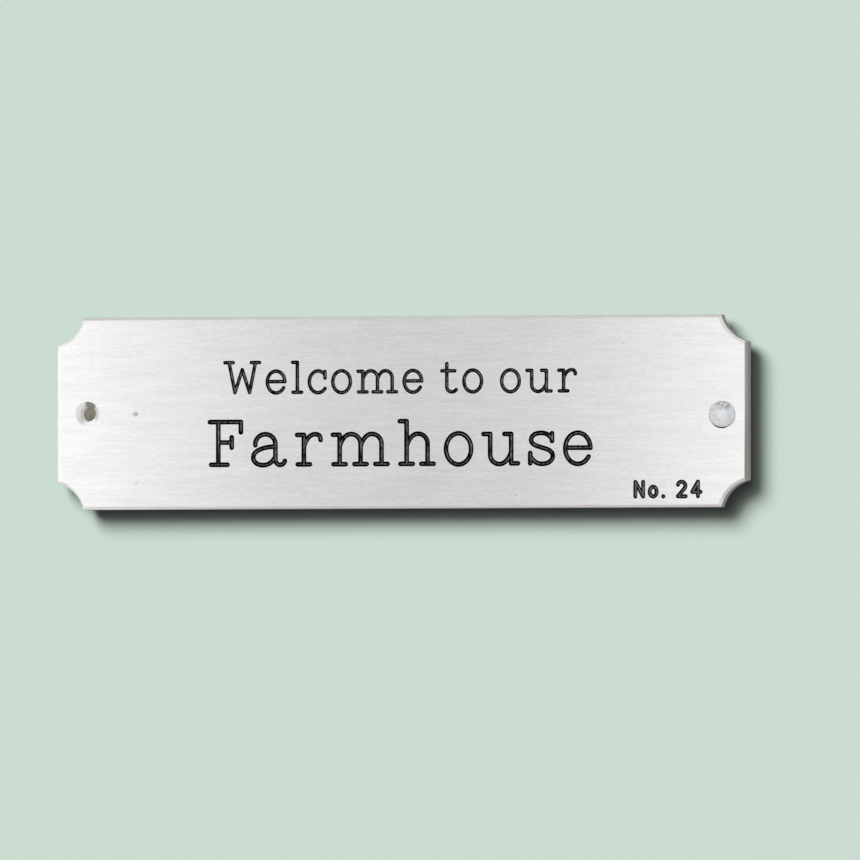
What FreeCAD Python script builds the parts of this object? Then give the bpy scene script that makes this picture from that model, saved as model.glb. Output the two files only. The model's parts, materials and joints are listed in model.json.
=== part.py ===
import FreeCAD, Part
import math
import os

# House name sign: one flat aluminium plate with scooped corners and a screw hole near each end.
# Millimetres. X runs along the sign, Z is up, the face looks towards -Y and the back lies on Y = 0,
# with the origin at the middle of the back.

# Plate
LENGTH = 110.0
HEIGHT = 30.0
THICKNESS = 3.0
FRONT_EDGE_RADIUS = 0.5

# Each corner is scooped away on an arc whose centre lies a little outside the square corner
SCOOP_LEG = 4.2
SCOOP_CENTRE_OUT = 1.3

# Screw holes, drilled and countersunk by hand, so the two ends differ a little
BORE_DIAMETER = 2.4
LEFT_HOLE_INSET = 4.9
RIGHT_HOLE_INSET = 4.0
RIGHT_HOLE_DROP = 0.6
LEFT_SINK_WIDTH = 0.7
RIGHT_SINK_WIDTH = 0.95

# A cutter runs this far past the face it leaves by
CUTTER_RUN_OUT = 1.0

FRONT_Y = -THICKNESS
TOWARDS_BACK = FreeCAD.Vector(0, 1, 0)
TOWARDS_FRONT = FreeCAD.Vector(0, -1, 0)


def rounded_plate():
    """Square-cornered plate whose face edges are rolled over, as the press leaves them."""
    corner = FreeCAD.Vector(-LENGTH / 2, FRONT_Y, -HEIGHT / 2)
    plate = Part.makeBox(LENGTH, THICKNESS, HEIGHT, corner)
    face = min(plate.Faces, key=lambda side: side.CenterOfMass.y)
    return plate.makeFillet(FRONT_EDGE_RADIUS, face.Edges)


def corner_scoop(side, level):
    """Cutter that takes SCOOP_LEG off both edges of one corner; side and level are -1 or 1.

    It is turned about an axis outside the corner, and its flare rolls the edge over at the face.
    """
    axis_x = side * (LENGTH / 2 + SCOOP_CENTRE_OUT)
    axis_z = level * (HEIGHT / 2 + SCOOP_CENTRE_OUT)
    radius = math.hypot(SCOOP_LEG + SCOOP_CENTRE_OUT, SCOOP_CENTRE_OUT)
    flare = FRONT_EDGE_RADIUS
    flare_middle = flare * (1 - math.sqrt(0.5))

    def point(out, y):
        return FreeCAD.Vector(axis_x + side * out, y, axis_z)

    flare_start = point(radius + flare, FRONT_Y)
    flare_end = point(radius, FRONT_Y + flare)
    flare_arc = Part.Arc(flare_start, point(radius + flare_middle, FRONT_Y + flare_middle), flare_end)
    straight_edges = Part.makePolygon([
        flare_end,
        point(radius, CUTTER_RUN_OUT),
        point(0, CUTTER_RUN_OUT),
        point(0, FRONT_Y - CUTTER_RUN_OUT),
        point(radius + flare, FRONT_Y - CUTTER_RUN_OUT),
        flare_start,
    ]).Edges
    profile = Part.Face(Part.Wire(straight_edges + [flare_arc.toShape()]))
    return profile.revolve(point(0, 0), TOWARDS_BACK, 360)


def screw_hole(x, z, sink_width):
    """Cutter for a clear bore with a 90 degree countersink at the face."""
    bore_radius = BORE_DIAMETER / 2
    bore_start = FreeCAD.Vector(x, FRONT_Y - CUTTER_RUN_OUT, z)
    bore = Part.makeCylinder(bore_radius, THICKNESS + 2 * CUTTER_RUN_OUT, bore_start, TOWARDS_BACK)
    sink_height = sink_width + CUTTER_RUN_OUT
    sink_bottom = FreeCAD.Vector(x, FRONT_Y + sink_width, z)
    sink = Part.makeCone(bore_radius, bore_radius + sink_height, sink_height, sink_bottom, TOWARDS_FRONT)
    return bore.fuse(sink)


def name_plate():
    scoops = [corner_scoop(side, level) for side in (-1, 1) for level in (-1, 1)]
    left_hole = screw_hole(-LENGTH / 2 + LEFT_HOLE_INSET, 0, LEFT_SINK_WIDTH)
    right_hole = screw_hole(LENGTH / 2 - RIGHT_HOLE_INSET, -RIGHT_HOLE_DROP, RIGHT_SINK_WIDTH)
    return rounded_plate().cut(scoops + [left_hole, right_hole])


os.makedirs("parts", exist_ok=True)
name_plate().exportStep("parts/name_plate.step")
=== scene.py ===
import json
import math

import bmesh
import bpy
from mathutils import Euler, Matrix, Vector


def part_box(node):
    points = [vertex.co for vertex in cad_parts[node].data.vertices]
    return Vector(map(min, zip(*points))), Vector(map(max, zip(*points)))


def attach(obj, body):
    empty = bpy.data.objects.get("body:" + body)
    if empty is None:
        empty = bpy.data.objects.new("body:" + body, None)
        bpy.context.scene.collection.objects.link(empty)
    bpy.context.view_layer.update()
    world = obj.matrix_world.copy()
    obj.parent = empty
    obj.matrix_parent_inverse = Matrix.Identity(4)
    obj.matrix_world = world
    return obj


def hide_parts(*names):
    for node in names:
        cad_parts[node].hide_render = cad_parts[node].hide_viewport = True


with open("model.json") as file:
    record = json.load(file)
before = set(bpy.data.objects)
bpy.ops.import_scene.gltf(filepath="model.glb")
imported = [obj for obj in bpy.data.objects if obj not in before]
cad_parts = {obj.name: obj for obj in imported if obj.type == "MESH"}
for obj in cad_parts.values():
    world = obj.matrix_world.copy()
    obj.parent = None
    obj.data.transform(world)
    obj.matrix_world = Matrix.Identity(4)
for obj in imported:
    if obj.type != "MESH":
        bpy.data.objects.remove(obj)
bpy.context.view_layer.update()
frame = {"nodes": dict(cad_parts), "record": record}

# Metres throughout; X along the sign, Z up, the face looks towards -Y
MM = 0.001
PLATE_LOW, PLATE_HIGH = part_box("name_plate")
FACE_Y = PLATE_LOW[1]
BACK_Y = PLATE_HIGH[1]

# The engraving: what is cut, how tall its capitals are between the middles of their strokes, how wide the
# round-nosed cutter cuts, where the baseline lies, and the room between letters and words in capital heights
WELCOME_LINE = {
    "text": "Welcome to our",
    "cap": 4.67 * MM,
    "width": 0.60 * MM,
    "baseline": 3.2 * MM,
    "gap": 0.265,
    "space": 0.42,
}
HOUSE_LINE = {
    "text": "Farmhouse",
    "cap": 6.67 * MM,
    "width": 0.79 * MM,
    "baseline": -8.07 * MM,
    "gap": 0.295,
    "space": 0.45,
}
NUMBER_LINE = {
    "text": "No. 24",
    "cap": 2.28 * MM,
    "width": 0.67 * MM,
    "baseline": -13.33 * MM,
    "gap": 0.46,
    "space": 0.55,
}
TEXT_CENTRE_X = -0.2 * MM
NUMBER_RIGHT_X = 47.6 * MM
ENGRAVING_DEPTH = 0.27 * MM
PAINT_THICKNESS = 0.03 * MM

# How finely the cutter's passes are drawn: round the tube, degrees between the points of an arc, rings in a
# rounded end and the share of the radius that its tip keeps, and steps in a swing
TUBE_BEVEL_RESOLUTION = 5
ARC_STEP = 9.0
END_STEPS = 5
TIP_SHARE = 0.02
CURVE_STEPS = 8

# Distances under which points are one, in the plate and the pin, and in the finer engraving
MERGE_DISTANCE = 1e-6
SLIVER = 1e-7

# The plate's faces: the angle up to which neighbours are one flat face and the angle from which an edge is
# sharp, the least that the face and back, and the rolled edge, look along Y, and a hole's reach from its axis
FLAT_ANGLE = math.radians(1)
SHARP_ANGLE = math.radians(35)
FLAT_NORMAL = 0.995
ROLL_NORMAL = 0.05
BORE_REACH = 2.6 * MM

# How strongly the large faces rule the shading
FLAT_FACES_FIRST = 100

# Material places: of the grooves while they are cut, and of the finished plate's surfaces
GROOVE = 1
FACE, ROLL, SIDE, BORE, BACK = range(5)

SCREW_HOLES = {
    mount["name"]: Vector(mount["pos_m"]) for mount in frame["record"]["mounts"] if mount["kind"] == "bore"
}

# Small marks on the face: place along and up the sign, radius, and how strongly it shows
FACE_MARKS = (
    (-42.4 * MM, -0.1 * MM, 0.65 * MM, 1.0),
    (-42.4 * MM, -10.9 * MM, 0.60 * MM, 0.7),
    (35.4 * MM, 10.5 * MM, 0.35 * MM, 0.7),
    (18.3 * MM, -13.0 * MM, 0.35 * MM, 0.6),
    (22.1 * MM, 0.2 * MM, 0.35 * MM, 0.6),
)

# The pin left in the right hole: its outline from the middle of the head round to the end of the shank,
# as radius and depth below the face in millimetres, how far up it sits in its hole, where its head is
# bruised, where it is rubbed bright with a painted reflection, and where painted shadow lies under its rim
PIN_OUTLINE = (
    (0.0, 0.07), (0.85, 0.07), (1.05, 0.03), (1.40, 0.06), (1.75, 0.01), (2.00, 0.02), (2.06, 0.06),
    (2.03, 0.16), (1.15, 1.04), (1.10, 1.08), (1.10, 2.70), (0.95, 2.85), (0.0, 2.85),
)
PIN_LIFT = 0.10 * MM
PIN_SEGMENTS = 64
PIN_HOLE = SCREW_HOLES["right_screw_hole"]
PIN_BRUISE_PLACE = (PIN_HOLE.x + 0.3 * MM, FACE_Y, PIN_HOLE.z + 1.9 * MM)
PIN_BRUISE_RADIUS = 1.6 * MM
PIN_RUBBED_AND_SHEEN_PLACE = (PIN_HOLE.x, FACE_Y, PIN_HOLE.z + PIN_LIFT)
PIN_RUBBED_AND_SHEEN_RADIUS = 1.15 * MM
PIN_SHADOW_PLACE = (PIN_HOLE.x - 0.3 * MM, FACE_Y + 0.2 * MM, PIN_HOLE.z - 2.1 * MM)
PIN_SHADOW_RADIUS = 1.3 * MM

# The open hole: painted shade at the top of its countersink, and a painted highlight at its bottom, a pale,
# matt spot
OPEN_HOLE = SCREW_HOLES["left_screw_hole"]
OPEN_HOLE_SHADE_PLACE = (OPEN_HOLE.x + 0.5 * MM, FACE_Y + 0.4 * MM, OPEN_HOLE.z + 1.6 * MM)
OPEN_HOLE_SHADE_RADIUS = 1.2 * MM
OPEN_HOLE_HIGHLIGHT_PLACE = (OPEN_HOLE.x + 0.25 * MM, FACE_Y + 0.5 * MM, OPEN_HOLE.z - 1.45 * MM)
OPEN_HOLE_HIGHLIGHT_RADIUS = 1.4 * MM


# Letters

def arc(centre_x, centre_y, radius_x, radius_y, start, end):
    """Points along an elliptical arc between two angles in degrees, anticlockwise if end is the larger."""
    steps = max(2, round(abs(end - start) / ARC_STEP))
    angles = [math.radians(start + (end - start) * i / steps) for i in range(steps + 1)]
    return [(centre_x + radius_x * math.cos(a), centre_y + radius_y * math.sin(a)) for a in angles]


def swing(start, start_pull, end_pull, end):
    """Points along a cubic curve from start to end, drawn towards the two pulls on the way."""
    points = []
    for i in range(CURVE_STEPS + 1):
        t = i / CURVE_STEPS
        weights = ((1 - t) ** 3, 3 * t * (1 - t) ** 2, 3 * t * t * (1 - t), t ** 3)
        corners = (start, start_pull, end_pull, end)
        points.append(tuple(sum(w * c[axis] for w, c in zip(weights, corners)) for axis in (0, 1)))
    return points


# Slab letters in units of the capital's height; strokes are the paths that the cutter follows
X_HEIGHT = 0.69
STEM = 0.16
STEM_PITCH = 0.50
HALF_FOOT = 0.145
BRANCH_HEIGHT = 0.42
CROWN_HEIGHT = 0.705
CROWN_REACH = 0.27
CLOSED_GAP = 1e-6


def foot(x):
    return [(x - HALF_FOOT, 0), (x + HALF_FOOT, 0)]


def flag(x, height):
    """The slab that runs left from the top of a stem."""
    return [(x - STEM, height), (x, height)]


def stem(x, height):
    return [(x, height), (x, 0)]


def shoulder(x):
    """Branch that leaves the stem at x low down and rises to the top of the arch."""
    branch, crown = (x, BRANCH_HEIGHT), (x + CROWN_REACH, CROWN_HEIGHT)
    return swing(branch, (x + 0.05, 0.58), (x + 0.14, CROWN_HEIGHT), crown)


def arch(x):
    """Shoulder that comes down again as the next stem."""
    right = x + STEM_PITCH
    radius = right - (x + CROWN_REACH)
    bend = arc(x + CROWN_REACH, CROWN_HEIGHT - radius, radius, radius, 90, 0)
    return shoulder(x) + bend[1:] + [(right, 0)]


def slab_letters():
    middle_y, half_width, half_height = 0.345, 0.30, 0.365
    second, third = STEM + STEM_PITCH, STEM + 2 * STEM_PITCH
    return {
        "W": [
            [(0, 1), (0.28, 1)],
            [(0.90, 1), (1.18, 1)],
            [(0.14, 1), (0.34, 0)],
            [(0.34, 0), (0.59, 0.76)],
            [(0.59, 0.76), (0.84, 0)],
            [(0.84, 0), (1.04, 1)],
        ],
        "F": [
            stem(0.20, 1),
            [(0.03, 0), (0.42, 0)],
            [(0, 1), (0.74, 1)],
            [(0.74, 1), (0.74, 0.76)],
            [(0.20, 0.52), (0.52, 0.52)],
            [(0.52, 0.64), (0.52, 0.40)],
        ],
        "a": [
            arc(0.29, 0.475, 0.24, 0.235, 185, 0) + [(0.53, 0.14)]
            + arc(0.645, 0.115, 0.115, 0.125, 180, 345),
            [(0.53, 0.42)] + swing((0.53, 0.42), (0.33, 0.42), (0.0, 0.36), (0.0, 0.17))[1:]
            + swing((0.0, 0.17), (0.0, 0.05), (0.11, -0.015), (0.24, -0.015))[1:]
            + swing((0.24, -0.015), (0.37, -0.015), (0.48, 0.07), (0.53, 0.19))[1:],
        ],
        "c": [
            arc(half_width, middle_y, half_width, half_height, 42, 322),
            [(0.535, 0.69), (0.535, 0.47)],
        ],
        "e": [
            [(0, 0.36), (2 * half_width, 0.36)],
            arc(half_width, middle_y, half_width, half_height, 2, 328),
        ],
        "h": [flag(STEM, 1), stem(STEM, 1), arch(STEM), foot(STEM), foot(second)],
        "l": [flag(STEM, 1), stem(STEM, 1), foot(STEM)],
        "m": [
            flag(STEM, X_HEIGHT),
            stem(STEM, X_HEIGHT),
            arch(STEM),
            arch(second),
            foot(STEM),
            foot(second),
            foot(third),
        ],
        "o": [arc(half_width, middle_y, half_width, half_height, 0, 360)],
        "r": [
            flag(STEM, X_HEIGHT),
            stem(STEM, X_HEIGHT),
            foot(STEM),
            shoulder(STEM) + swing((0.43, 0.705), (0.52, 0.705), (0.56, 0.66), (0.56, 0.57))[1:],
        ],
        "s": [
            [(0.52, 0.70), (0.52, 0.52)],
            [(0.0, 0.0), (0.0, 0.24)],
            swing((0.52, 0.56), (0.46, 0.66), (0.38, 0.71), (0.26, 0.71))
            + swing((0.26, 0.71), (0.12, 0.71), (0.02, 0.65), (0.02, 0.54))[1:]
            + swing((0.02, 0.54), (0.02, 0.34), (0.54, 0.40), (0.54, 0.18))[1:]
            + swing((0.54, 0.18), (0.54, 0.06), (0.43, -0.015), (0.28, -0.015))[1:]
            + swing((0.28, -0.015), (0.15, -0.015), (0.06, 0.06), (0.0, 0.17))[1:],
        ],
        "t": [
            [(0, X_HEIGHT), (0.44, X_HEIGHT)],
            [(0.17, 0.93), (0.17, 0.16)] + arc(0.345, 0.16, 0.175, 0.175, 180, 325)[1:],
        ],
        "u": [
            flag(STEM, X_HEIGHT),
            [(STEM, X_HEIGHT), (STEM, 0.21)] + arc(STEM + 0.22, 0.205, 0.22, 0.22, 180, 270)[1:]
            + swing((0.38, -0.015), (0.50, -0.015), (0.61, 0.10), (second, 0.27))[1:],
            [(second - STEM, X_HEIGHT), (second, X_HEIGHT)],
            stem(second, X_HEIGHT),
            [(second, 0), (second + STEM, 0)],
        ],
    }


def plain_figures():
    """Unserifed letters and figures for the house number."""
    return {
        "N": [[(0, 0), (0, 1)], [(0, 1), (0.54, 0)], [(0.54, 0), (0.54, 1)]],
        "o": [arc(0.24, 0.33, 0.24, 0.33, 0, 360)],
        ".": [[(0, 0), (0.01, 0)]],
        "2": [
            arc(0.26, 0.72, 0.26, 0.28, 165, -38) + [(0.02, 0.02)],
            [(0, 0), (0.54, 0)],
        ],
        "4": [[(0.40, 0), (0.40, 1)], [(0.40, 1), (0, 0.30)], [(0, 0.30), (0.58, 0.30)]],
    }


def lay_out(line, letters):
    """Strokes of a whole line in capital heights, with its left end at 0, and its length."""
    strokes = []
    pen = 0.0
    for sign in line["text"]:
        if sign == " ":
            pen += line["space"]
            continue
        outline = letters[sign]
        left = min(x for stroke in outline for x, _ in stroke)
        right = max(x for stroke in outline for x, _ in stroke)
        strokes += [[(x - left + pen, y) for x, y in stroke] for stroke in outline]
        pen += right - left + line["gap"]
    return strokes, pen - line["gap"]


# Cutting

def is_ring(stroke):
    return math.dist(stroke[0], stroke[-1]) < CLOSED_GAP


def rounded_end(end, neighbour, radius):
    """Points past the end of a stroke with shrinking radius, which close its tube with a half ball."""
    outward = (end - neighbour).normalized()
    turns = [math.pi / 2 * i / END_STEPS for i in range(1, END_STEPS + 1)]
    return [(end + outward * radius * math.sin(t), max(math.cos(t), TIP_SHARE)) for t in turns]


def cutter_tubes(name, line, strokes, left_x):
    """Mesh of the cutter's passes for one line of engraving, sunk into the face."""
    half_width, depth, cap = line["width"] / 2, ENGRAVING_DEPTH, line["cap"]
    radius = (half_width ** 2 + depth ** 2) / (2 * depth)
    middle_y = FACE_Y - (radius - depth)
    curve = bpy.data.curves.new(name, "CURVE")
    curve.dimensions = "3D"
    curve.bevel_depth = radius
    curve.bevel_resolution = TUBE_BEVEL_RESOLUTION
    curve.use_fill_caps = True
    for stroke in strokes:
        places = [Vector((left_x + x * cap, middle_y, line["baseline"] + y * cap)) for x, y in stroke]
        ring = is_ring(stroke)
        if ring:
            path = [(place, 1.0) for place in places[:-1]]
        else:
            path = rounded_end(places[0], places[1], radius)[::-1]
            path += [(place, 1.0) for place in places]
            path += rounded_end(places[-1], places[-2], radius)
        spline = curve.splines.new("POLY")
        spline.points.add(len(path) - 1)
        spline.use_cyclic_u = ring
        for point, (place, share) in zip(spline.points, path):
            point.co = (*place, 1.0)
            point.radius = share
    holder = bpy.data.objects.new(name, curve)
    bpy.context.collection.objects.link(holder)
    mesh = bpy.data.meshes.new_from_object(holder.evaluated_get(bpy.context.evaluated_depsgraph_get()))
    bpy.data.objects.remove(holder)
    return mesh


def engraving_cutter():
    """All passes of the cutter as one mesh."""
    slab, plain = slab_letters(), plain_figures()
    bm = bmesh.new()
    for line, letters in ((WELCOME_LINE, slab), (HOUSE_LINE, slab), (NUMBER_LINE, plain)):
        strokes, length = lay_out(line, letters)
        length *= line["cap"]
        left_x = NUMBER_RIGHT_X - length if line is NUMBER_LINE else TEXT_CENTRE_X - length / 2
        bm.from_mesh(cutter_tubes("cutter", line, strokes, left_x))
    bmesh.ops.remove_doubles(bm, verts=bm.verts, dist=SLIVER)
    bmesh.ops.recalc_face_normals(bm, faces=bm.faces)
    return bm


def add_piece(name, bm, finishes):
    """Object at the origin whose mesh holds its place; the list of finishes becomes its material slots."""
    mesh = bpy.data.meshes.new(name)
    bm.to_mesh(mesh)
    bm.free()
    for finish in finishes:
        mesh.materials.append(finish)
    piece = bpy.data.objects.new(name, mesh)
    bpy.context.collection.objects.link(piece)
    return piece


def engraved_blank():
    """The plate's own solid with the engraving cut into its face; groove faces have material GROOVE."""
    bm = bmesh.new()
    bm.from_mesh(frame["nodes"]["name_plate"].data)
    bmesh.ops.remove_doubles(bm, verts=bm.verts, dist=MERGE_DISTANCE)
    bmesh.ops.dissolve_limit(bm, angle_limit=FLAT_ANGLE, verts=bm.verts, edges=bm.edges)
    stand_in = [bpy.data.materials.new(name) for name in ("uncut", "groove")]
    blank = add_piece("blank", bm, stand_in[:1])
    cutter = add_piece("cutter", engraving_cutter(), stand_in[1:])
    cut = blank.modifiers.new("engrave", "BOOLEAN")
    cut.operation = "DIFFERENCE"
    cut.solver = "EXACT"
    cut.use_self = True
    cut.material_mode = "TRANSFER"
    cut.object = cutter
    bpy.context.view_layer.update()
    finished = bpy.data.meshes.new_from_object(blank.evaluated_get(bpy.context.evaluated_depsgraph_get()))
    bpy.data.objects.remove(blank)
    bpy.data.objects.remove(cutter)
    bm = bmesh.new()
    bm.from_mesh(finished)
    bmesh.ops.dissolve_degenerate(bm, dist=SLIVER, edges=bm.edges)
    for finish in stand_in:
        bpy.data.materials.remove(finish)
    return bm


def shade(bm):
    """Smooth shading that breaks at every edge sharper than SHARP_ANGLE."""
    for face in bm.faces:
        face.smooth = True
    for edge in bm.edges:
        edge.smooth = edge.calc_face_angle(0) < SHARP_ANGLE


def flat_distance(place, other):
    """Distance across the face, whatever the depth."""
    return math.hypot(place.x - other.x, place.z - other.z)


def surface_of(face):
    """Which of the plate's finishes a face takes, by where it looks and where it lies."""
    if face.material_index == GROOVE or face.normal.y < -FLAT_NORMAL:
        return FACE
    if face.normal.y > FLAT_NORMAL:
        return BACK
    middle = face.calc_center_median()
    if any(flat_distance(middle, hole) < BORE_REACH for hole in SCREW_HOLES.values()):
        return BORE
    if face.normal.y < -ROLL_NORMAL:
        return ROLL
    return SIDE


# Finishes

# Darkening of the rim, by where it begins and where it is at its full: in from the upper and lower edges, in
# from the right end, along the lower edge, and in and down to the lower right scoop. It is painted shade
# where the rim faces away from the light, with some grime along the lower edge
RIM_SHADE_AND_GRIME = (0.4 * MM, 0.1 * MM)
END_SHADE = (0.5 * MM, 0.2 * MM)
LOW_EDGE_SHADE_AND_GRIME = (-51.0 * MM, -20.0 * MM)
SCOOP_SHADE_IN = (4.3 * MM, 3.5 * MM)
SCOOP_SHADE_DOWN = (0.0, -8.0 * MM)

# Depths below the face: where a cut side's torn band and its painted shade begin and how far that wanders,
# where painted shade lies in the open hole, where the painted glint lies in the engraving, and where the
# painted shadow begins on the pin
TORN_AND_SHADED_DEPTH = (0.9 * MM, 1.3 * MM)
TORN_AND_SHADED_WANDER = 0.8 * MM
HOLE_SHADE_DEPTH = (0.55 * MM, 0.75 * MM)
GLINT_DEPTH = (0.19 * MM, 0.26 * MM)
PIN_SHADOW_DEPTH = (0.08 * MM, 0.2 * MM)

# Which way from the open hole's axis its painted shade lies, along and up, and how far, how high above the
# number's baseline its paint is worn, the squared slope at which a stroke no longer counts as upright, and
# how the scratches on the back slant
HOLE_SHADE_TOWARDS = (0.6, 0.8)
HOLE_SHADE_OFFSET = (0.45 * MM, 0.75 * MM)
NUMBER_WEAR_HEIGHT = (4.0 * MM, 3.0 * MM)
UPRIGHT_SLOPE = 0.06
SCRATCH_SLANT = math.radians(24)

# The part of a noise's range in which most of it lies
NOISE_SPREAD = (0.3, 0.7)


class Value:
    """A node's output that takes part in Python arithmetic by adding Math nodes."""

    def __init__(self, bench, socket):
        self.bench = bench
        self.socket = socket

    def math(self, operation, first, second):
        return self.bench.node("ShaderNodeMath", {0: first, 1: second}, operation=operation)

    def __add__(self, other):
        return self.math("ADD", self, other)

    def __sub__(self, other):
        return self.math("SUBTRACT", self, other)

    def __rsub__(self, other):
        return self.math("SUBTRACT", other, self)

    def __mul__(self, other):
        return self.math("MULTIPLY", self, other)

    __radd__ = __add__
    __rmul__ = __mul__


class Bench:
    """A node tree under construction."""

    def __init__(self, tree):
        self.tree = tree

    def feed(self, socket, value):
        """Links a socket to a value, or sets it to a number or colour."""
        if isinstance(value, Value):
            self.tree.links.new(value.socket, socket)
        else:
            socket.default_value = value

    def node(self, kind, inputs=None, output=0, **settings):
        """Any node: its settings first, then the values or links of its sockets; gives one output."""
        made = self.tree.nodes.new(kind)
        for setting, value in settings.items():
            setattr(made, setting, value)
        for socket, value in (inputs or {}).items():
            self.feed(made.inputs[socket], value)
        return Value(self, made.outputs[output])

    def place(self):
        """Where the shaded point lies on the piece, in metres."""
        return self.node("ShaderNodeTexCoord", output="Object")

    def coordinate(self, place, axis):
        """One coordinate of a place or direction."""
        return self.node("ShaderNodeSeparateXYZ", {0: place}, output=axis)

    def sunk(self, place):
        """Depth below the face."""
        return self.coordinate(place, "Y") - FACE_Y

    def noise(self, place, grain, detail=2.0):
        """Noise from 0 to 1 with a grain of that size, in millimetres, along X, Y and Z."""
        cells = tuple(1 / (size * MM) for size in grain)
        stretched = self.node("ShaderNodeMapping", {"Vector": place, "Scale": cells})
        return self.node("ShaderNodeTexNoise", {"Vector": stretched, "Scale": 1.0, "Detail": detail})

    def ramp(self, value, low, high):
        """Smooth step from 0, where the value is low, to 1, where it is high."""
        inputs = {"Value": value, "From Min": low, "From Max": high}
        return self.node("ShaderNodeMapRange", inputs, interpolation_type="SMOOTHSTEP")

    def blend(self, share, first, second):
        """Colour between two colours."""
        return self.node("ShaderNodeMix", {"Factor": share, 6: first, 7: second}, output=2, data_type="RGBA")

    def mottle(self, noise, dark, light):
        """Colour that goes from dark to light with a noise."""
        return self.blend(self.ramp(noise, *NOISE_SPREAD), dark, light)

    def spot(self, place, centre, radius):
        """1 inside a round spot, falling to 0 at its edge."""
        away = self.node("ShaderNodeVectorMath", {0: place, 1: centre}, output="Value", operation="DISTANCE")
        return self.ramp(away, radius, radius / 2)

    def bump(self, height, strength, depth):
        """Normal of a surface with that height, from 0 to 1, times a depth in metres."""
        inputs = {"Strength": strength, "Distance": depth, "Height": height}
        return self.node("ShaderNodeBump", inputs)


def grey(level, warmth=0.0):
    """A near-neutral colour; warmth takes a little blue away."""
    return (level, level * (1 - warmth / 3), level * (1 - warmth), 1)


def start_finish(name):
    """A new material, the bench for its nodes, and its shader."""
    material = bpy.data.materials.new(name)
    material.use_nodes = True
    bench = Bench(material.node_tree)
    return material, bench, material.node_tree.nodes["Principled BSDF"]


def dress(bench, shader, **inputs):
    """Sets or links the shader's sockets, named with _ for a space."""
    for socket, value in inputs.items():
        bench.feed(shader.inputs[socket.replace("_", " ")], value)


def brushed_face():
    """Fine lengthwise brushing under clear anodising, with the few small marks of use."""
    material, bench, shader = start_finish("brushed_face")
    place = bench.place()
    hair = bench.noise(place, (1.0, 1.0, 0.16))
    line = bench.noise(place, (5, 5, 0.22))
    band = bench.noise(place, (9, 9, 1.1))
    cloud = bench.noise(place, (16, 16, 10))
    brushing = hair * 0.6 + line * 0.4 + band * 0.3
    colour = bench.blend(bench.ramp(brushing, 0.40, 0.90), grey(0.750, 0.015), grey(0.885, 0.01))
    fray = bench.noise(place, (0.5, 0.5, 0.3))
    marks = sum(bench.spot(place, (x, FACE_Y, z), radius) * share for x, z, radius, share in FACE_MARKS)
    marked = bench.ramp(marks * fray, 0.22, 0.62)
    colour = bench.blend(marked * 0.55, colour, grey(0.28))
    roughness = 0.30 + hair * 0.08 + cloud * 0.05 + marked * 0.2
    bump = bench.bump(brushing - marked * 0.3, 0.3, 0.02 * MM)
    dress(bench, shader, Base_Color=colour, Metallic=1.0, Roughness=roughness, Normal=bump)
    return material


def rolled_edge():
    """The face's rim, drawn over by the shear and rubbed smooth, and darker except towards the left: painted
    shade with some grime.
    """
    material, bench, shader = start_finish("rolled_edge")
    place = bench.place()
    along = bench.coordinate(place, "X")
    height = bench.coordinate(place, "Z")
    rub = bench.noise(place, (2.5, 0.4, 2.5), detail=3.0)
    fleck = bench.noise(place, (0.3, 0.3, 0.3))
    colour = bench.mottle(rub * 0.7 + fleck * 0.3, grey(0.80, 0.02), grey(0.90, 0.01))
    # Painted shade, with some grime along the bottom: the rim is darker where it faces away from the light
    from_right = PLATE_HIGH[0] - along
    low_edge = bench.ramp(height - PLATE_LOW[2], *RIM_SHADE_AND_GRIME)
    top_edge = bench.ramp(PLATE_HIGH[2] - height, *RIM_SHADE_AND_GRIME)
    scoop = bench.ramp(from_right, *SCOOP_SHADE_IN) * bench.ramp(height, *SCOOP_SHADE_DOWN)
    grime_and_shade = bench.ramp(from_right, *END_SHADE) + top_edge * 0.42 + scoop * 0.4
    grime_and_shade = grime_and_shade + low_edge * (0.1 + bench.ramp(along, *LOW_EDGE_SHADE_AND_GRIME) * 0.45)
    colour = bench.blend(grime_and_shade * (0.7 + rub * 0.4), colour, grey(0.30, 0.12))
    bump = bench.bump(rub, 0.3, 0.03 * MM)
    dress(bench, shader, Base_Color=colour, Metallic=1.0, Roughness=0.26 + rub * 0.16, Normal=bump)
    return material


def sheared_side():
    """Cut edge: a burnished band towards the face, torn and dull behind it, scored across the thickness;
    painted shade darkens it.
    """
    material, bench, shader = start_finish("sheared_side")
    place = bench.place()
    score = bench.noise(place, (0.16, 4, 0.16))
    tear = bench.noise(place, (0.5, 0.3, 0.5), detail=4.0)
    wander = bench.noise(place, (5, 20, 5))
    # Painted shade: the side is darker than bare aluminium where it faces away from the light, and the torn
    # band is darker still where it fades into the shadow
    torn_and_shaded = bench.ramp(bench.sunk(place) + (wander - 0.5) * TORN_AND_SHADED_WANDER, *TORN_AND_SHADED_DEPTH)
    colour = bench.mottle(score * 0.6 + tear * 0.4, grey(0.33, 0.07), grey(0.415, 0.05))
    colour = bench.blend(torn_and_shaded * 0.6, colour, grey(0.215, 0.09))
    roughness = 0.36 + torn_and_shaded * 0.14 + score * 0.1
    bump = bench.bump(score + torn_and_shaded * tear, 0.45, 0.03 * MM)
    dress(bench, shader, Base_Color=colour, Metallic=1.0, Roughness=roughness, Normal=bump)
    return material


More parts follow.
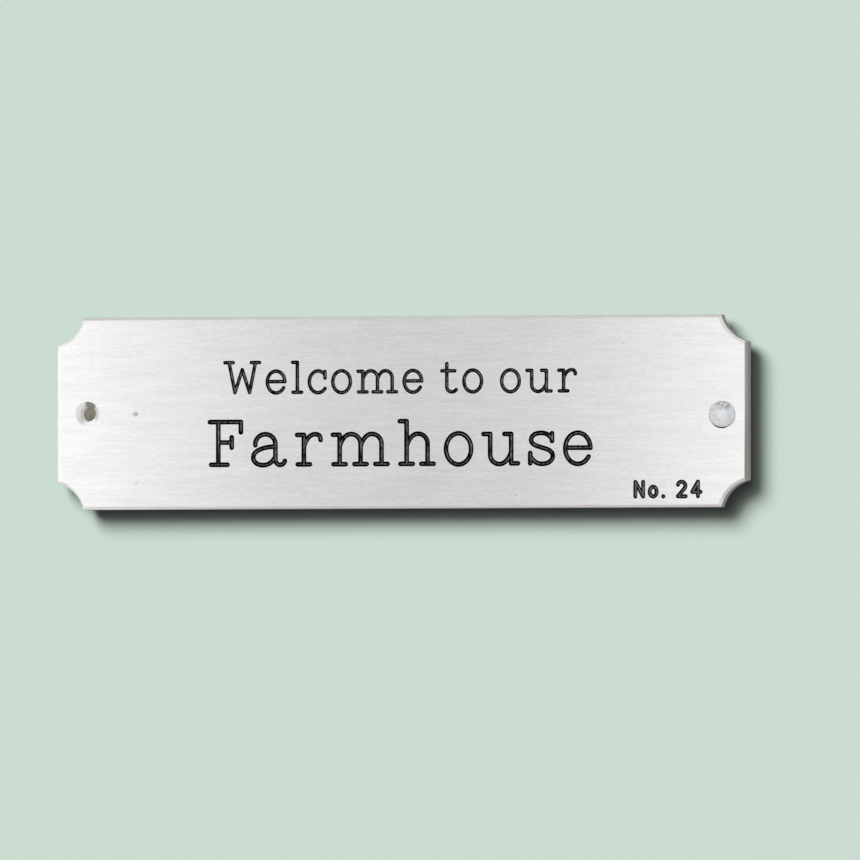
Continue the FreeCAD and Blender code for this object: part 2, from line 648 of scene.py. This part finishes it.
def drilled_bore():
    """Bright bore and countersink with the drill's rings.

    There is painted shade at the top of the open hole, a painted highlight at its bottom as a pale, matt
    spot, and painted shadow in the gap below the pin.
    """
    material, bench, shader = start_finish("drilled_bore")
    place = bench.place()
    ring = bench.noise(place, (4, 0.09, 4), detail=3.0)
    cloud = bench.noise(place, (1.2, 1.2, 1.2))
    colour = bench.mottle(ring * 0.5 + cloud * 0.5, grey(0.92, 0.01), grey(0.98))
    above = bench.coordinate(place, "Z") - OPEN_HOLE.z
    beside = bench.coordinate(place, "X") - OPEN_HOLE.x
    # Painted shade: the upper part of the open hole's countersink, which faces down, is darker and brownish
    right, up = HOLE_SHADE_TOWARDS
    painted_shade = bench.ramp(above * up + beside * right, *HOLE_SHADE_OFFSET)
    painted_shade = painted_shade * bench.ramp(bench.sunk(place), *HOLE_SHADE_DEPTH)
    painted_shade = painted_shade + bench.spot(place, OPEN_HOLE_SHADE_PLACE, OPEN_HOLE_SHADE_RADIUS)
    colour = bench.blend(painted_shade, colour, grey(0.36, 0.15))
    # Painted highlight: a pale, matt spot at the bottom of the open hole, where the flank faces up into the
    # light
    painted_highlight = bench.spot(place, OPEN_HOLE_HIGHLIGHT_PLACE, OPEN_HOLE_HIGHLIGHT_RADIUS)
    colour = bench.blend(painted_highlight, colour, grey(0.73))
    # Painted shadow: near black in the gap below the pin's head
    colour = bench.blend(bench.spot(place, PIN_SHADOW_PLACE, PIN_SHADOW_RADIUS), colour, grey(0.03))
    bump = bench.bump(ring, 0.4, 0.03 * MM)
    dress(bench, shader, Base_Color=colour, Metallic=1 - painted_highlight, Roughness=0.38 + cloud * 0.15, Normal=bump)
    return material


def mill_back():
    """Back as rolled: soft lengthwise roll lines, a clouded grey and a few handling scratches."""
    material, bench, shader = start_finish("mill_back")
    place = bench.place()
    roll = bench.noise(place, (40, 5, 0.5), detail=3.0)
    cloud = bench.noise(place, (9, 9, 6), detail=4.0)
    slanted = bench.node("ShaderNodeMapping", {"Vector": place, "Rotation": (0, SCRATCH_SLANT, 0)})
    scratch = bench.ramp(bench.noise(slanted, (9, 9, 0.12)), 0.70, 0.76)
    colour = bench.mottle(roll * 0.5 + cloud * 0.5, grey(0.64, 0.02), grey(0.77, 0.015))
    colour = bench.blend(scratch * 0.4, colour, grey(0.88))
    bump = bench.bump(roll - scratch * 0.5, 0.3, 0.02 * MM)
    dress(bench, shader, Base_Color=colour, Metallic=1.0, Roughness=0.36 + cloud * 0.16, Normal=bump)
    return material


def black_enamel():
    """Matt black wiped into the grooves, with a painted glint on the floors of upright strokes, worn grey in
    the number.
    """
    material, bench, shader = start_finish("black_enamel")
    place = bench.place()
    grain = bench.noise(place, (0.3, 0.3, 0.3), detail=3.0)
    streak = bench.noise(place, (0.35, 0.35, 0.9), detail=3.0)
    floor = bench.ramp(bench.sunk(place), *GLINT_DEPTH)
    worn = bench.ramp(bench.coordinate(place, "Z") - NUMBER_LINE["baseline"], *NUMBER_WEAR_HEIGHT)
    tilt = bench.coordinate(bench.node("ShaderNodeNewGeometry", output="Normal"), "Z")
    upright = bench.ramp(tilt * tilt, UPRIGHT_SLOPE, 0.0)
    # Painted glint: pale grey on the floors of upright strokes, where the groove would catch the light
    painted_glint = floor * upright * (bench.ramp(streak, 0.32, 0.72) + worn * 0.2)
    colour = bench.blend(painted_glint, (0.001, 0.001, 0.002, 1), (0.265, 0.265, 0.27, 1))
    colour = bench.blend(worn * 0.03, colour, grey(0.2, 0.2))
    bump = bench.bump(grain, 0.3, 0.02 * MM)
    dress(bench, shader, Base_Color=colour, Roughness=0.5 + grain * 0.3, Specular_IOR_Level=0.0, Normal=bump)
    return material


def dull_pin():
    """Soft aluminium pin: hammer-bruised along the top, rubbed bright with a painted reflection in the
    middle, painted shadow under its rim.
    """
    material, bench, shader = start_finish("dull_pin")
    place = bench.place()
    scuff = bench.noise(place, (0.7, 0.7, 0.5), detail=4.0)
    fleck = bench.noise(place, (0.4, 0.4, 0.3))
    bruised = bench.spot(place, PIN_BRUISE_PLACE, PIN_BRUISE_RADIUS) * bench.ramp(fleck, 0.38, 0.62)
    # Painted shadow: near black under the lower rim of the head, where it stands proud of the hole
    painted_shade = bench.spot(place, PIN_SHADOW_PLACE, PIN_SHADOW_RADIUS)
    rim_shadow = bench.ramp(bench.sunk(place), *PIN_SHADOW_DEPTH) * painted_shade
    # Lighter, bluer middle of the head: rubbed bright, and a painted reflection of the bright front
    worn = bench.spot(place, PIN_RUBBED_AND_SHEEN_PLACE, PIN_RUBBED_AND_SHEEN_RADIUS)
    colour = bench.mottle(scuff, (0.62, 0.625, 0.64, 1), (0.76, 0.765, 0.775, 1))
    colour = bench.blend(worn, colour, (0.79, 0.82, 0.84, 1))
    colour = bench.blend(bruised * 0.8, colour, grey(0.30))
    colour = bench.blend(rim_shadow, colour, grey(0.05))
    bump = bench.bump(scuff - bruised * 0.5, 0.4, 0.05 * MM)
    dress(bench, shader, Base_Color=colour, Metallic=1.0, Roughness=0.40 + scuff * 0.2, Normal=bump)
    return material


# Pieces

def plate_and_paint():
    """The engraved plate, and the paint as a thin layer of its own on the grooves."""
    plate_bm = engraved_blank()
    paint_bm = plate_bm.copy()
    bare = [face for face in paint_bm.faces if face.material_index != GROOVE]
    bmesh.ops.delete(paint_bm, geom=bare, context="FACES")
    for face in paint_bm.faces:
        face.material_index = 0
    shade(paint_bm)
    paint = add_piece("engraving_paint", paint_bm, [black_enamel()])
    layer = paint.modifiers.new("layer", "SOLIDIFY")
    layer.thickness = PAINT_THICKNESS
    layer.offset = 1.0
    for face in plate_bm.faces:
        face.material_index = surface_of(face)
    shade(plate_bm)
    finishes = [brushed_face(), rolled_edge(), sheared_side(), drilled_bore(), mill_back()]
    plate = add_piece("engraved_plate", plate_bm, finishes)
    evened = plate.modifiers.new("even_shading", "WEIGHTED_NORMAL")
    evened.weight = FLAT_FACES_FIRST
    evened.keep_sharp = True
    return plate, paint


def fixing_pin():
    """Countersunk pin turned about the hole's own axis."""
    axis_x, axis_z = PIN_HOLE.x, PIN_HOLE.z + PIN_LIFT
    bm = bmesh.new()
    verts = [
        bm.verts.new((axis_x + radius * MM, FACE_Y + depth * MM, axis_z)) for radius, depth in PIN_OUTLINE
    ]
    outline = [bm.edges.new(pair) for pair in zip(verts, verts[1:])]
    bmesh.ops.spin(
        bm, geom=verts + outline, cent=(axis_x, 0, axis_z), axis=(0, 1, 0), dvec=(0, 0, 0),
        angle=math.tau, steps=PIN_SEGMENTS, use_merge=True, use_duplicate=False,
    )
    bmesh.ops.remove_doubles(bm, verts=bm.verts, dist=MERGE_DISTANCE)
    bmesh.ops.recalc_face_normals(bm, faces=bm.faces)
    shade(bm)
    return add_piece("fixing_pin", bm, [dull_pin()])


plate, paint = plate_and_paint()
pin = fixing_pin()
for piece in (plate, paint, pin):
    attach(piece, "root")
    piece.visible_diffuse = False
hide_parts("name_plate")


# Stage

WALL_GAP = 2.0 * MM
STAGE_SIZE = 4.0
FLOOR_DROP = 0.35
BACKING_SIZE = 5.0 * MM
BACKING_GAP = 0.5 * MM
PALE_GREEN = (0.597, 0.723, 0.638, 1)


def clear_from_behind(bench, shader):
    """Makes a stage finish show only on the room's side, so that the sign can be looked at from behind."""
    clear = bench.node("ShaderNodeBsdfTransparent")
    behind = bench.node("ShaderNodeNewGeometry", output="Backfacing")
    seen = bench.node("ShaderNodeMixShader", {0: behind, 1: Value(bench, shader.outputs[0]), 2: clear})
    bench.feed(bench.tree.nodes["Material Output"].inputs["Surface"], seen)


def stage_paint():
    """Plain matt paint of the wall and the floor."""
    material, bench, shader = start_finish("stage_paint")
    dress(bench, shader, Base_Color=PALE_GREEN, Roughness=1.0, Specular_IOR_Level=0.0)
    clear_from_behind(bench, shader)
    return material


def glowing_backing():
    """Wood-coloured patch behind the open hole that glows: painted light, as bright as if light fell on it
    from the side.
    """
    material, bench, shader = start_finish("glowing_backing")
    grain = bench.noise(bench.place(), (0.5, 0.5, 1.6), detail=3.0)
    # Painted light: the wood colour glows rather than being lit
    colour = bench.mottle(grain, (0.15, 0.148, 0.12, 1), (0.26, 0.24, 0.18, 1))
    dress(bench, shader, Base_Color=grey(0.0), Emission_Color=colour, Emission_Strength=1.0)
    clear_from_behind(bench, shader)
    return material


def stage_plane(name, size, place, turn, finish):
    """Square plane that isn't part of the sign."""
    bm = bmesh.new()
    bmesh.ops.create_grid(bm, x_segments=1, y_segments=1, size=size / 2)
    bmesh.ops.rotate(bm, verts=bm.verts, cent=(0, 0, 0), matrix=Euler(turn).to_matrix())
    bmesh.ops.translate(bm, verts=bm.verts, vec=place)
    plane = add_piece(name, bm, [finish])
    return plane


FACING_ROOM = (math.radians(90), 0, 0)
FACING_UP = (0, 0, 0)
backdrop_paint = stage_paint()
wall_place = (0, BACK_Y + WALL_GAP, STAGE_SIZE / 2 - FLOOR_DROP)
wall = stage_plane("wall", STAGE_SIZE, wall_place, FACING_ROOM, backdrop_paint)
floor = stage_plane("floor", STAGE_SIZE, (0, 0, -FLOOR_DROP), FACING_UP, backdrop_paint)
backing_place = (OPEN_HOLE.x, BACK_Y + BACKING_GAP, OPEN_HOLE.z)
backing = stage_plane("backing", BACKING_SIZE, backing_place, FACING_ROOM, glowing_backing())
for plane in (wall, floor, backing):
    plane.visible_diffuse = False
    plane.visible_glossy = False
    plane.visible_shadow = False


# Light

def lamp(name, kind, place, aim, energy, **settings):
    """A lamp at a place, turned towards its aim and hidden from the camera."""
    data = bpy.data.lights.new(name, kind)
    data.energy = energy
    for setting, value in settings.items():
        setattr(data, setting, value)
    holder = bpy.data.objects.new(name, data)
    holder.location = place
    holder.rotation_euler = (Vector(aim) - Vector(place)).to_track_quat("-Z", "Y").to_euler()
    holder.visible_camera = False
    bpy.context.collection.objects.link(holder)
    return holder


# A key from the upper left lights the wall and throws the sign's shadow, and a weaker fill nearer the front
# softens it: where each comes from, its strength and how broad it is
SUNS = {
    "key": (Vector((-0.500, -1.0, 0.615)), 2.965, math.radians(30)),
    "fill": (Vector((-0.280, -1.0, 0.454)), 0.78, math.radians(48)),
}
for name, (place, strength, angle) in SUNS.items():
    sun = lamp(name, "SUN", place, (0, 0, 0), strength, angle=angle)
    sun.visible_glossy = False
    sun.data.cycles.use_multiple_importance_sampling = False

# Two soft boxes in front of the sign, which the metal mirrors towards its ends: place along the sign, width
# and brightness
BOX_DISTANCE = 0.13
BOX_HEIGHT = 0.10
SOFT_BOXES = {"left_box": (-0.148, 0.168, 0.83), "right_box": (0.0442, 0.0436, 1.05)}
sign_only = bpy.data.collections.new("sign_only")
for piece in (plate, paint, pin):
    sign_only.objects.link(piece)
for name, (x, width, radiance) in SOFT_BOXES.items():
    energy = radiance * math.pi * width * BOX_HEIGHT
    place = (x, FACE_Y - BOX_DISTANCE, 0)
    box = lamp(name, "AREA", place, (x, 0, 0), energy, shape="RECTANGLE", size=width, size_y=BOX_HEIGHT)
    box.light_linking.receiver_collection = sign_only

# The room that the metal mirrors is lightest all round the sign and darkest behind it; the two ranges say
# how far towards the back, from -1 to 1, one grey gives way to the next
FRONT_TO_SIDE = (-0.75, -0.2)
SIDE_TO_BACK = (0.3, 0.8)
ROOM_GREY = grey(0.65)
ROOM_SIDE_GREY = grey(0.95)
ROOM_BACK_GREY = grey(0.58)
SHADE_GREY = (0.044, 0.041, 0.0425, 1)
world = bpy.data.worlds.new("room")
bpy.context.scene.world = world
world.use_nodes = True
room = Bench(world.node_tree)
seen_by = {name: room.node("ShaderNodeLightPath", output=name) for name in ("Is Camera Ray", "Is Glossy Ray")}
towards = room.node("ShaderNodeTexCoord", output="Generated")
towards_back = room.coordinate(towards, "Y")
mirrored_grey = room.blend(room.ramp(towards_back, *FRONT_TO_SIDE), ROOM_GREY, ROOM_SIDE_GREY)
mirrored_grey = room.blend(room.ramp(towards_back, *SIDE_TO_BACK), mirrored_grey, ROOM_BACK_GREY)
room_grey = room.blend(seen_by["Is Glossy Ray"], SHADE_GREY, mirrored_grey)
room_colour = room.blend(seen_by["Is Camera Ray"], room_grey, PALE_GREEN)
room.feed(world.node_tree.nodes["Background"].inputs["Color"], room_colour)


# Camera

FRAME_PIXELS = 860
PIXELS_PER_METRE = 6407.0
LENS = 1600.0
SENSOR = 36.0
CAMERA_AZIMUTH = math.radians(11.5)
CAMERA_ELEVATION = math.radians(-1.4)
AIM_RIGHT_PIXELS = 28.75
AIM_DOWN_PIXELS = 17.8

frame_width = FRAME_PIXELS / PIXELS_PER_METRE
distance = LENS / SENSOR * frame_width
back = Vector((
    math.sin(CAMERA_AZIMUTH) * math.cos(CAMERA_ELEVATION),
    -math.cos(CAMERA_AZIMUTH) * math.cos(CAMERA_ELEVATION),
    math.sin(CAMERA_ELEVATION),
))
turn = (-back).to_track_quat("-Z", "Y")
right, up = turn @ Vector((1, 0, 0)), turn @ Vector((0, 1, 0))
face_middle = Vector((0, FACE_Y, 0))
aim = face_middle + (right * AIM_RIGHT_PIXELS - up * AIM_DOWN_PIXELS) / PIXELS_PER_METRE
camera_data = bpy.data.cameras.new("camera")
camera_data.lens = LENS
camera_data.sensor_width = SENSOR
camera = bpy.data.objects.new("camera", camera_data)
camera.location = aim + back * distance
camera.rotation_mode = "QUATERNION"
camera.rotation_quaternion = turn
bpy.context.collection.objects.link(camera)
bpy.context.scene.camera = camera
bpy.context.scene.view_settings.view_transform = "Standard"
